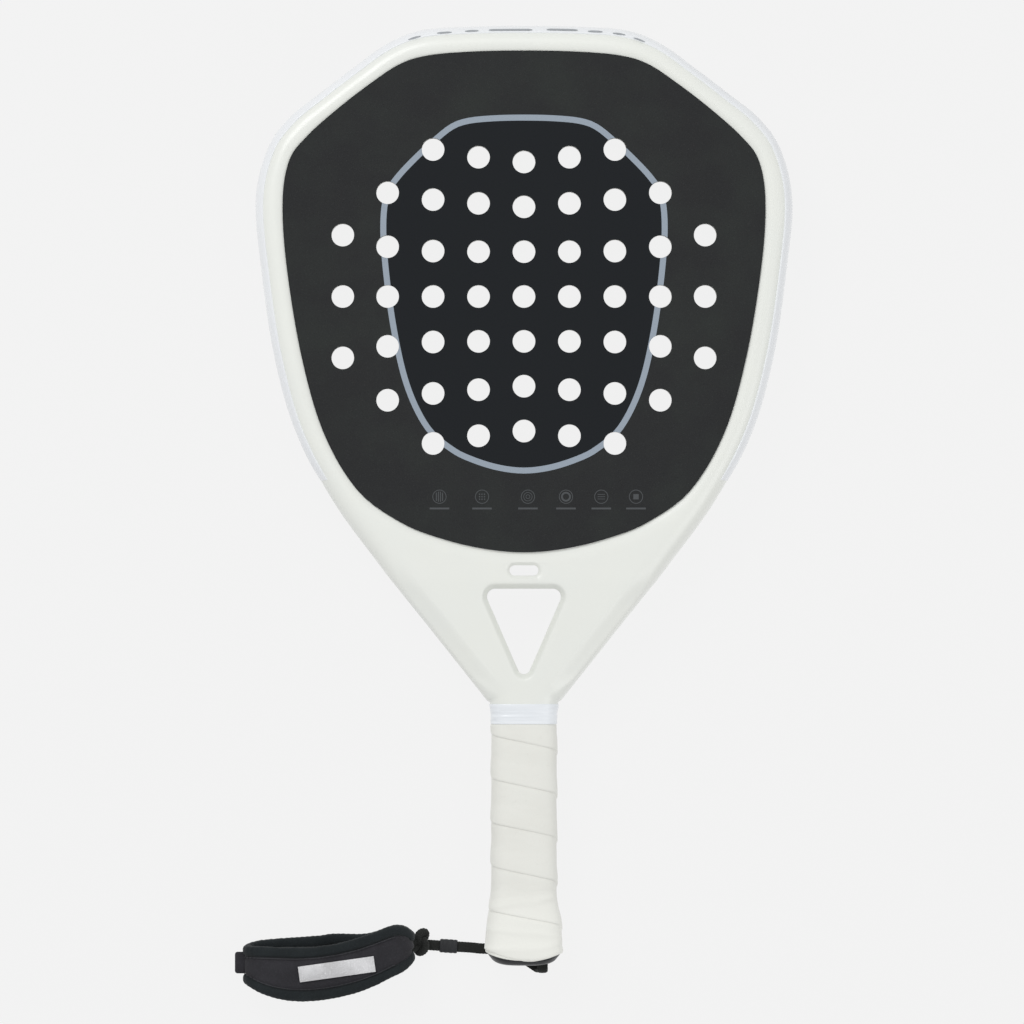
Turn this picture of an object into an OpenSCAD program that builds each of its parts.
// Padel racket with a wrist strap, lying on its back face.
// Origin: centre of the racket's footprint, on the table. +Y to the top of the head, +Z to the front face.

/* [Racket] */
// Overall length of the racket
racket_l = 455; // [455:1:455]
// Thickness across the two faces
racket_t = 38; // [34:0.5:38]
// Thickness of each face skin
skin_t = 0.9; // [0.5:0.1:1.5]
// Wall of the hollow frame tube
tube_wall = 2; // [1.5:0.1:2.5]
// Thickness of the edge protector
protector_t = 0.7; // [0.4:0.1:1]

/* [Face holes] */
// Diameter of the air holes
hole_d = 11; // [9:0.5:13]
// Distance between the rows of holes
row_pitch = 21.7; // [20:0.1:23]
// Distance between the columns of holes
col_pitch = 22; // [20:0.1:23]

/* [Throat] */
// Half width of the throat opening at its top
throat_w = 17; // [12:0.5:19]
// Depth of the sloped recess round the throat opening
recess_depth = 7; // [3:0.5:9]

/* [Handle] */
// Half width of the wrapped grip
grip_w = 16.2; // [15:0.1:17]
// Half thickness of the wrapped grip
grip_h = 13.6; // [12.5:0.1:14]
// How far the grip flares out at the butt
flare = 3; // [1:0.1:4]

/* [Wrist strap] */
// Width of the flat cord
cord_w = 5.2; // [4:0.1:6]
// Thickness of the flat cord
cord_t = 2.4; // [2:0.1:3]
// Width of the wristband
band_w = 26; // [20:0.5:30]

/* [Hidden] */

mid_z = racket_t / 2;       // height of the racket's middle plane
butt_y = -racket_l / 2;     // the butt cap's bottom face
bond = 0.05;                // glue line between pieces that touch
outline_steps = 5;          // straight pieces in each stretch of an outline
reach = 60;                 // longer than any cut has to be

// Half outline of the frame's outer edge, from the head's top down to the throat
outer_ctrl = [[0, 226.8], [26, 226.4], [49, 224.7], [66, 218.2], [82, 206.8], [98, 194.6],
    [113, 182.6], [123.6, 167.5], [129.3, 143], [126.6, 110], [120.4, 68], [110, 31],
    [92.5, -2.5], [71.5, -31.5], [49, -60]];
// Half outline of the playing face, from its top down to its lowest point
face_ctrl = [[0, 215.4], [25, 214.9], [46, 213.1], [60, 208.9], [75, 199], [91, 186.6],
    [105, 174], [113.5, 162.5], [116.8, 143], [115, 112], [107.8, 68], [97, 30.5],
    [80.5, 2.5], [60, -12.8], [42, -20.2], [21, -25.5], [0, -27.5]];
// Number of stretches that the frame's inner edge shares with the face outline
shared = 13;
// Each throat arm below that: outer x, inner x, y and half thickness, down to its leg in the handle
arm = [[64.3, 51.5, -41, 18.2], [49, 35.9, -60, 16.9], [37.5, 25, -74.5, 15.6], [26, 12.9, -89, 14.4],
    [16.4, 1.5, -100.7, 13.5], [11.5, 1.5, -100.8, 9], [11.5, 1.5, -205, 9]];
arm_last = 4;               // the last of these above the handle

// One point of a Catmull-Rom curve, t of the way from b to c
function curve_point(a, b, c, d, t) =
    0.5 * (2 * b + (c - a) * t + (2 * a - 5 * b + 4 * c - d) * t * t
    + (3 * b - a - 3 * c + d) * t * t * t);
// A smooth curve through the points p, between a point before the first and one after the last
function smooth(p, before, after, n) =
    let (q = concat([before], p, [after]))
    concat([for (i = [1:len(p) - 1]) for (k = [0:n - 1])
        curve_point(q[i - 1], q[i], q[i + 1], q[i + 2], k / n)], [p[len(p) - 1]]);
function mirrored(p) = [-p[0], p[1]];
function last(p) = p[len(p) - 1];
function reversed(p) = [for (i = [len(p) - 1:-1:0]) p[i]];

face_end = face_ctrl[len(face_ctrl) - 2];
face_half = smooth(face_ctrl, mirrored(face_ctrl[1]), mirrored(face_end), outline_steps);
outer_half = smooth(outer_ctrl, mirrored(outer_ctrl[1]), [26, -89], outline_steps);
n_head = shared * outline_steps;

// Moves each point of a closed clockwise outline inwards by d
function inset(p, d) = [for (i = [0:len(p) - 1])
    let (t = p[(i + 1) % len(p)] - p[(i + len(p) - 1) % len(p)])
    p[i] + d * [t[1], -t[0]] / norm(t)];
function whole(half) = concat(half, [for (i = [len(half) - 2:-1:1]) mirrored(half[i])]);
face_outline = whole(face_half);

// A corner of an outline, rounded by an arc of radius r
function corner(a, b, c, r, n) =
    let (u = (a - b) / norm(a - b), v = (c - b) / norm(c - b),
        half = acos(u * v) / 2, m = (u + v) / norm(u + v), o = b + m * r / sin(half),
        s = (b + u * r / tan(half)) - o, e = (b + v * r / tan(half)) - o,
        a0 = atan2(s[1], s[0]), a1 = atan2(e[1], e[0]),
        turn = a1 - a0 > 180 ? a1 - a0 - 360 : a1 - a0 < -180 ? a1 - a0 + 360 : a1 - a0)
    [for (k = [0:n]) o + r * [cos(a0 + turn * k / n), sin(a0 + turn * k / n)]];
function rounded(p, r, n) = [for (i = [0:len(p) - 1])
    each corner(p[(i + len(p) - 1) % len(p)], p[i], p[(i + 1) % len(p)], r[i], n)];

// Triangles over rings of m points, each ring clockwise as seen along the way.
// A loop joins the last ring to the first.
function ring_faces(n, m, loop) = concat(
    [for (i = [0:loop ? n - 1 : n - 2]) for (j = [0:m - 1])
        let (a = i * m + j, b = i * m + (j + 1) % m,
            c = ((i + 1) % n) * m + j, d = ((i + 1) % n) * m + (j + 1) % m)
        each [[a, c, b], [b, c, d]]],
    loop ? [] : [[for (j = [0:m - 1]) j], [for (j = [m - 1:-1:0]) (n - 1) * m + j]]);
module skin(rings, loop = false) {
    polyhedron(points = [for (r = rings) each r],
        faces = ring_faces(len(rings), len(rings[0]), loop), convexity = 10);
}

// The frame tube: where its cross-section stands, from the left leg over the head to the right leg.
// A place is outer point, inner point and half thickness.
rim_drop = 0.1;             // how far the rim stays below the faces
head_half = mid_z - rim_drop;
places_half = concat(
    [for (i = [0:n_head]) [outer_half[i], face_half[i], head_half]],
    [for (a = arm) [[a[0], a[2]], [a[1], a[2]], a[3]]]);
places = concat([for (i = [len(places_half) - 1:-1:1])
    [mirrored(places_half[i][0]), mirrored(places_half[i][1]), places_half[i][2]]], places_half);

// Rounded rim profile: share of the width in from the outer edge, share of the half thickness
rim = [[0, 0.25], [0.02, 0.5], [0.1, 0.72], [0.24, 0.87], [0.45, 0.965], [0.7, 0.995], [1, 0.975]];
rim_all = concat(rim, [for (i = [len(rim) - 1:-1:0]) [rim[i][0], -rim[i][1]]]);
function section(place, profile, inwards) =
    let (w = norm(place[1] - place[0]), dir = (place[1] - place[0]) / w)
    [for (q = profile)
        let (p = place[0] + dir * (inwards + q[0] * (w - 2 * inwards)))
        [p[0], p[1], mid_z + q[1] * (place[2] - inwards)]];

module frame_tube() {
    void_places = [for (i = [1:2:len(places) - 2]) places[i]];
    void_rim = [[0, 0.45], [0.25, 0.85], [1, 0.95], [1, -0.95], [0.25, -0.85], [0, -0.45]];
    color("white") difference() {
        skin([for (p = places) section(p, rim_all, 0)]);
        skin([for (p = void_places) section(p, void_rim, tube_wall)]);
    }
}

// Throat bridge: its outline in plan, and its side profile that follows the arms' thickness
arm_side = concat([[face_ctrl[shared], head_half]],
    [for (i = [0:arm_last]) [[arm[i][1], arm[i][2]], arm[i][3]]]);
bridge_arc = [for (i = [n_head:len(face_half) - 1]) face_half[i]];
bridge_half = concat(reversed(bridge_arc), [for (i = [1:len(arm_side) - 1]) arm_side[i][0]]);
bridge_plan = concat(bridge_half, [for (i = [len(bridge_half) - 1:-1:1]) mirrored(bridge_half[i])]);
bridge_share = 0.975;       // the bridge's thickness, as a share of the arms'
bridge_top = [for (s = arm_side) [s[0][1], bridge_share * s[1]]];
throat_corners = [[-throat_w - 3, -45], [throat_w + 3, -45], [0, -91]];
recess_corners = [[-throat_w - 10, -39.5], [throat_w + 10, -39.5], [0, -98.5]];
throat_r = [4, 4, 3];       // corner radii of the opening, then of the recess round it
recess_r = [7, 7, 3];
web_half = 11;              // half thickness of the bridge at the opening's edge
slot_y = -36.2;
slot_w = 14;
slot_h = 5;

module throat_cut() {
    hole = rounded(throat_corners, throat_r, 6);
    rim_line = rounded(recess_corners, recess_r, 6);
    translate([0, 0, -1]) linear_extrude(racket_t + 2) polygon(hole);
    for (side = [-1, 1]) skin([
        for (q = [[hole, web_half], [rim_line, web_half + recess_depth], [rim_line, reach / 2]])
            [for (p = side < 0 ? q[0] : reversed(q[0])) [p[0], p[1], mid_z + side * q[1]]]]);
}

module throat_bridge() {
    color("white") difference() {
        intersection() {
            linear_extrude(racket_t) polygon(inset(bridge_plan, bond));
            translate([-reach, 0, mid_z]) rotate([90, 0, 90]) linear_extrude(2 * reach) polygon(concat(
                [[0, bridge_top[0][1]], [0, -bridge_top[0][1]]],
                [for (s = bridge_top) [s[0], -s[1]]], [for (s = reversed(bridge_top)) s]));
        }
        throat_cut();
        for (x = [-1, 1]) translate([x * (slot_w - slot_h) / 2, slot_y, -1])
            cylinder(d = slot_h, h = racket_t + 2, $fn = 32);
        translate([-(slot_w - slot_h) / 2, slot_y - slot_h / 2, -1])
            cube([slot_w - slot_h, slot_h, racket_t + 2]);
    }
}

// Air holes: columns each side of the middle, rows above and below the middle row
middle_row_y = 96.4;
outer_col = 87.7;
rows_in_col = [3, 3, 3, 2, 1];   // rows above the middle one, by column
// How far the holes lean away from the middle row: by row, then by column
lean = [[0, 0, 0, 0, 0], [0, 0, 0.3, 2.4, 8], [0, 1.7, 3.5, 6.8], [0, 2.3, 6]];
function hole_x(c) = abs(c) == 4 ? sign(c) * outer_col : c * col_pitch;
function hole_y(c, r) = middle_row_y + r * row_pitch + sign(r) * lean[abs(r)][abs(c)];
holes = [for (c = [-4:4]) for (r = [-rows_in_col[abs(c)]:rows_in_col[abs(c)]]) [hole_x(c), hole_y(c, r)]];

module perforated(z, t) {
    translate([0, 0, z]) difference() {
        linear_extrude(t) polygon(inset(face_outline, bond));
        for (h = holes) translate([h[0], h[1], -1]) cylinder(d = hole_d, h = t + 2, $fn = 32);
    }
}
module foam_core() { color("gainsboro") perforated(skin_t, racket_t - 2 * skin_t); }
module face_front() { color("#333436") perforated(racket_t - skin_t, skin_t); }
module face_back() { color("#333436") perforated(0, skin_t); }

// Edge protector: follows the rim's outer shoulders, from one side of the head over the top to the other
protected = 11 * outline_steps + 4;
module edge_protector() {
    shoulder = [for (i = [0:3]) rim[i]];
    line = concat(reversed(shoulder), [for (s = shoulder) [s[0], -s[1]]]);
    middle = len(places_half) - 1;
    color("lightsteelblue") skin([for (i = [middle - protected:middle + protected])
        let (inner = section(places[i], line, -bond), outer = section(places[i], line, -protector_t))
        concat(inner, reversed(outer))]);
}

// Handle pieces are sleeves: rings of a rounded oblong cross-section along Y
oblong_power = 0.55;
ring_points = 28;
function power(v, e) = sign(v) * pow(abs(v), e);
function oblong(w, h, y) = [for (k = [0:ring_points - 1])
    let (a = 360 * k / ring_points)
    [w * power(cos(a), oblong_power), y, mid_z + h * power(sin(a), oblong_power)]];
// Flare of the butt, by distance above the butt's bottom face
flare_curve = [[36, 0], [30, 0.2], [24, 0.58], [18, 0.8], [10, 0.92], [6, 1], [3, 0.85], [1.2, 0.35]];
function flare_rings(w, h, top, grow, low) = concat([oblong(w, h, top)],
    [for (f = flare_curve) if (f[0] >= low)
        oblong(w + grow * f[1], h + 0.7 * grow * f[1], butt_y + f[0])]);
module sleeve(w, h, t, top, grow, low) {
    inner = flare_rings(w - t, h - t, top, grow, low);
    skin(concat(flare_rings(w, h, top, grow, low), reversed(inner)), true);
}
neck_y = -100.9;
core_top = neck_y - 0.4;
tape_end = -110.6;
overgrip_t = 0.7;
base_grip_t = 1.6;
cap_wall = 1.2;
cap_top = -204;
base_w = grip_w - overgrip_t;
base_h = grip_h - overgrip_t;
core_w = base_w - base_grip_t;
core_h = base_h - base_grip_t;
core_end = -208;
butt_floor = -219;          // where the cap's solid end begins, below the space for the cord's stop knot

module finishing_tape() {
    color("aliceblue") skin([for (q = [[grip_w, grip_h, neck_y], [grip_w, grip_h, tape_end],
        [base_w + bond, base_h + bond, tape_end], [base_w + bond, base_h + bond, neck_y]])
        oblong(q[0], q[1], q[2])], true);
}
overgrip_low = 1.2;         // how far above the butt's bottom face the overgrip ends
base_grip_low = 6;
module overgrip() {
    color("whitesmoke") sleeve(grip_w, grip_h, overgrip_t - bond, tape_end - bond, flare, overgrip_low);
}
module base_grip() {
    color("dimgray") sleeve(base_w, base_h, base_grip_t - bond, core_top, flare, base_grip_low);
}

module handle_core() {
    gap = 0.1;
    leg = last(arm);
    plug = cap_wall + bond;
    color("tan") difference() {
        skin([for (q = [[0, core_top], [0, cap_top + bond], [plug, cap_top + bond / 2], [plug, core_end]])
            oblong(core_w - q[0], core_h - q[0], q[1])]);
        translate([-leg[0] - gap, leg[2] - gap, mid_z - leg[3] - gap])
            cube([2 * (leg[0] + gap), 2 * reach, 2 * (leg[3] + gap)]);
    }
}
cord_x = 9;
cord_hole_d = 6;
// distance above the bottom face, share of the flare
cap_curve = [[18, 0.8], [10, 0.92], [6, 1], [3, 0.9]];
module butt_cap() {
    color("#202123") difference() {
        skin(concat([oblong(core_w - bond, core_h - bond, cap_top)],
            [for (f = cap_curve) oblong(core_w - bond + flare * f[1], core_h - bond + 0.7 * flare * f[1],
                butt_y + f[0])],
            [oblong(grip_w - 1, grip_h - 1.2, butt_y + 1.1), oblong(grip_w - 1.4, grip_h - 1.6, butt_y)]));
        skin([for (y = [cap_top + 1, butt_floor]) oblong(core_w - cap_wall, core_h - cap_wall, y)]);
        translate([cord_x, butt_y - 1, mid_z]) rotate([-90, 0, 0])
            cylinder(d = cord_hole_d, h = 12, $fn = 32);
    }
}

// Flat cord: the route of its middle line, by hand, from the stop knot out of the butt and under the handle
cord_z = 2.7;
butt_route = [[9, -219.1, 19], [9, -223, 19], [9, -227.5, 19], [9, -229.5, 18], [8.9, -230, 15],
    [8.7, -229.8, 9], [7.5, -229.2, 4.6], [4.5, -227.2, 2.2], [0, -224.4, 1.6], [-6, -221.6, 1.6],
    [-13, -219.9, 1.9], [-21.4, -219.4, 2.7]];
free_route = [[-21.4, -219.4, 2.7], [-24, -219.1, 2.7], [-28, -218.8, 2.7], [-44.6, -217.8, 2.7],
    [-47, -217.4, 3.2]];
// The way that the cord's width points, at each point of the route
butt_across = [[1, 0, 0], [1, 0, 0], [1, 0, 0], [1, 0, 0], [1, 0, 0], [1, 0.05, 0], [1, 0.4, 0],
    [0.6, 0.8, 0], [0.45, 0.9, 0], [0.2, 1, 0], [0.05, 1, 0], [0.1, 1, 0]];
free_across = [for (p = free_route) [0.1, 1, 0]];
swing_gap = 3.1;           // free space round the point that the strap swings about

function smooth_open(p, n) = smooth(p, 2 * p[0] - p[1], 2 * last(p) - p[len(p) - 2], n);
// The flat cord's cross-section: share of the width, share of the thickness
cord_shape = [[0.5, 0], [0.42, 0.38], [0, 0.5], [-0.42, 0.38], [-0.5, 0], [-0.42, -0.38], [0, -0.5],
    [0.42, -0.38]];
function cord_ring(p, t, way, share) =
    let (s = way - t * (way * t), across = s / norm(s), out = cross(t, across))
    [for (q = cord_shape) p + across * q[0] * cord_w * share + out * q[1] * cord_t];
// Rings of the flat cord along a route; a round end adds rings that close in a half circle before its start
function cord_rings(route, ways, steps, round_end) =
    let (line = smooth_open(route, steps), t1 = line[1] - line[0], t = t1 / norm(t1))
    concat(round_end ? [for (a = [15:15:75])
            cord_ring(line[0] - t * cord_w / 2 * cos(a), t, ways[0], sin(a))] : [],
        [for (i = [0:len(line) - 1])
            let (along = line[min(i + 1, len(line) - 1)] - line[max(i - 1, 0)], k = i / steps,
                way = ways[floor(k)] + (k - floor(k)) * (ways[ceil(k)] - ways[floor(k)]))
            cord_ring(line[i], along / norm(along), way, 1)]);
module cord_butt_run() {
    color("#26272a") difference() {
        skin(cord_rings(butt_route, butt_across, 3, false));
        translate([free_route[0][0], free_route[0][1], -1]) cylinder(r = swing_gap, h = 12, $fn = 48);
    }
}
module wrist_cord() {
    color("#26272a") difference() {
        skin(cord_rings(free_route, free_across, 2, true));
        knot_shape(knot_r + bond);
    }
}
stop_r = 3.5;
module cord_stop_knot() {
    color("#26272a") translate([cord_x, butt_floor + stop_r + bond, mid_z]) sphere(r = stop_r, $fn = 32);
}

// Ribbed keeper: slices of an oblong along the cord, with a slot that the cord runs through
cord_angle = 176.4;         // the way the cord runs, from the butt to the knot
keeper_from = -32.3;
keeper_y = -218.53;
keeper_l = 8.5;
keeper_w = 6.8;
keeper_h = 5.2;
slot_gap = 0.12;
ribs = 4;
module oblong_slice(w, h, l) {
    rotate([90, 0, 90]) linear_extrude(l) {
        for (side = [-1, 1]) translate([side * (w - h) / 2, 0]) circle(d = h, $fn = 32);
        square([w - h, h], center = true);
    }
}
module cord_keeper() {
    rib_l = keeper_l / (2 * ribs - 1);
    color("#202123") translate([keeper_from, keeper_y, cord_z]) rotate([0, 0, cord_angle]) difference() {
        union() {
            oblong_slice(keeper_w - 0.7, keeper_h - 0.7, keeper_l);
            for (i = [0:ribs - 1]) translate([2 * i * rib_l, 0, 0]) oblong_slice(keeper_w, keeper_h, rib_l);
        }
        translate([-1, -cord_w / 2 - slot_gap, -cord_t / 2 - slot_gap])
            cube([keeper_l + 2, cord_w + 2 * slot_gap, cord_t + 2 * slot_gap]);
    }
}

// Knot: a rounded lump across the cord
knot_at = [-49.2, -216.4, 4.4];
knot_r = 4.2;
knot_spread = 2.2;
module knot_shape(r) {
    translate(knot_at) hull() for (side = [-1, 1])
        translate([0, side * knot_spread, 0]) sphere(r = r, $fn = 24);
}
module cord_knot() { color("#26272a") knot_shape(knot_r); }

// Wristband: a padded strip bent into a loop. An angle goes round the loop: 0 at the knot, 90 on top.
loop_x = -94.4;
loop_z = 16.4;
loop_half_l = 39.4;
loop_half_h = 13.2;
loop_y = -228;
loop_steps = 44;
tab_share = 0.72;           // width of the band at its tab end, as a share of its full width
knot_share = 0.88;          // the same at its knot end
end_sag = 3.8;              // how far the knot end hangs down
sag_from = 0.7;             // where that begins, as a share of the loop's half length
corner_share = 0.3;         // width lost where the knot end's corners are rounded
wall_shift = 2.5;           // how far the top wall lies below the loop's middle, and the bottom wall above it
link_angle = -20;           // place on the loop where the cord goes into the band, in degrees
link_y = 1;                 // how far above the band's middle that is
pad_t = 4;
cover_t = 0.8;
lining_t = 0.7;
binding_w = 5;
binding_t = 4.4;
function rise(t, low, high) = let (u = min(1, max(0, (t - low) / (high - low)))) u * u * (3 - 2 * u);
function loop_bend(c) = 6.25 * c + 7.25 * c * c - end_sag * pow(max(0, (c - sag_from) / (1 - sag_from)), 2);
// Towards the knot both walls shift the same way, so the loop closes there
function loop_shift(a) = wall_shift * (sin(a) + (abs(sin(a)) - sin(a)) * rise(cos(a), 0, 0.6));
function loop_point(a) = [loop_x + loop_half_l * cos(a),
    loop_y + loop_bend(cos(a)) - loop_shift(a), loop_z + loop_half_h * power(sin(a), 0.9)];
function loop_out(a) = let (n = [loop_half_h * cos(a), 0, loop_half_l * sin(a)]) n / norm(n);
function loop_width(a) = let (share = cos(a) > 0 ? knot_share : tab_share)
    band_w * (1 - (1 - share) * pow(cos(a), 4) - corner_share * pow(max(0, cos(a)), 14));
// A strip of the band: from y0 to y1 as offsets from its edge or middle, from t0 to t1 through its thickness
function band_ring(a, y0, y1, t0, t1) = let (p = loop_point(a), n = loop_out(a))
    [p + n * t0 + [0, y0, 0], p + n * t1 + [0, y0, 0], p + n * t1 + [0, y1, 0], p + n * t0 + [0, y1, 0]];
module band_strip(t0, t1) {
    skin([for (i = [0:loop_steps - 1]) let (a = 360 * i / loop_steps, h = loop_width(a) / 2 - binding_w)
        band_ring(a, -h, h, t0, t1)], true);
}
module band_edge(side) {
    skin([for (i = [0:loop_steps - 1]) let (a = 360 * i / loop_steps, h = loop_width(a) / 2,
        e = [-h, -h + binding_w - bond])
        band_ring(a, side > 0 ? -e[1] : e[0], side > 0 ? -e[0] : e[1], -binding_t / 2, binding_t / 2)], true);
}
module band_cover() { color("#2b2b2f") band_strip(pad_t / 2 - cover_t, pad_t / 2); }
module band_padding() {
    color("#3a3a3d") band_strip(lining_t + bond - pad_t / 2, pad_t / 2 - cover_t - bond);
}
module band_lining() { color("#232428") band_strip(-pad_t / 2, lining_t - pad_t / 2); }
module band_binding_upper() { color("#252a2c") band_edge(1); }
module band_binding_lower() { color("#252a2c") band_edge(-1); }

// Short piece of the cord between the knot and the band's end
module cord_band_link() {
    out = loop_out(link_angle);
    meets = loop_point(link_angle);
    end = meets + [0, link_y, 0] + out * (binding_t / 2 + 3 * bond);
    color("#26272a") difference() {
        skin([cord_ring(end + out * 6, -out, [0, 1, 0], 1), cord_ring(end, -out, [0, 1, 0], 1)]);
        knot_shape(knot_r + bond);
    }
}

// Folded webbing tab at the outer end, and the label on the top layer
tab_l = 4.6;
tab_w = 10.6;
tab_t = 3;
tab_y = 1;                  // how far above the loop's middle the tab stands
module band_tab() {
    color("#2b2b2f") translate([loop_x - loop_half_l - binding_t / 2 - tab_l, loop_y + tab_y, loop_z])
        translate([0, -tab_w / 2, -tab_t / 2]) cube([tab_l - bond, tab_w, tab_t]);
}
label_from = 66;
label_to = 114;
label_half = 4.6;
module band_label() {
    steps = 12;
    color("lightgray") skin([for (i = [0:steps])
        band_ring(label_from + (label_to - label_from) * i / steps, -label_half, label_half,
            pad_t / 2 + bond, pad_t / 2 + 0.4)]);
}

frame_tube();
throat_bridge();
foam_core();
face_front();
face_back();
edge_protector();
handle_core();
butt_cap();
base_grip();
overgrip();
finishing_tape();
cord_stop_knot();
cord_butt_run();
wrist_cord();
cord_knot();
cord_band_link();
band_cover();
band_padding();
band_lining();
band_binding_upper();
band_binding_lower();
band_tab();
band_label();
cord_keeper();
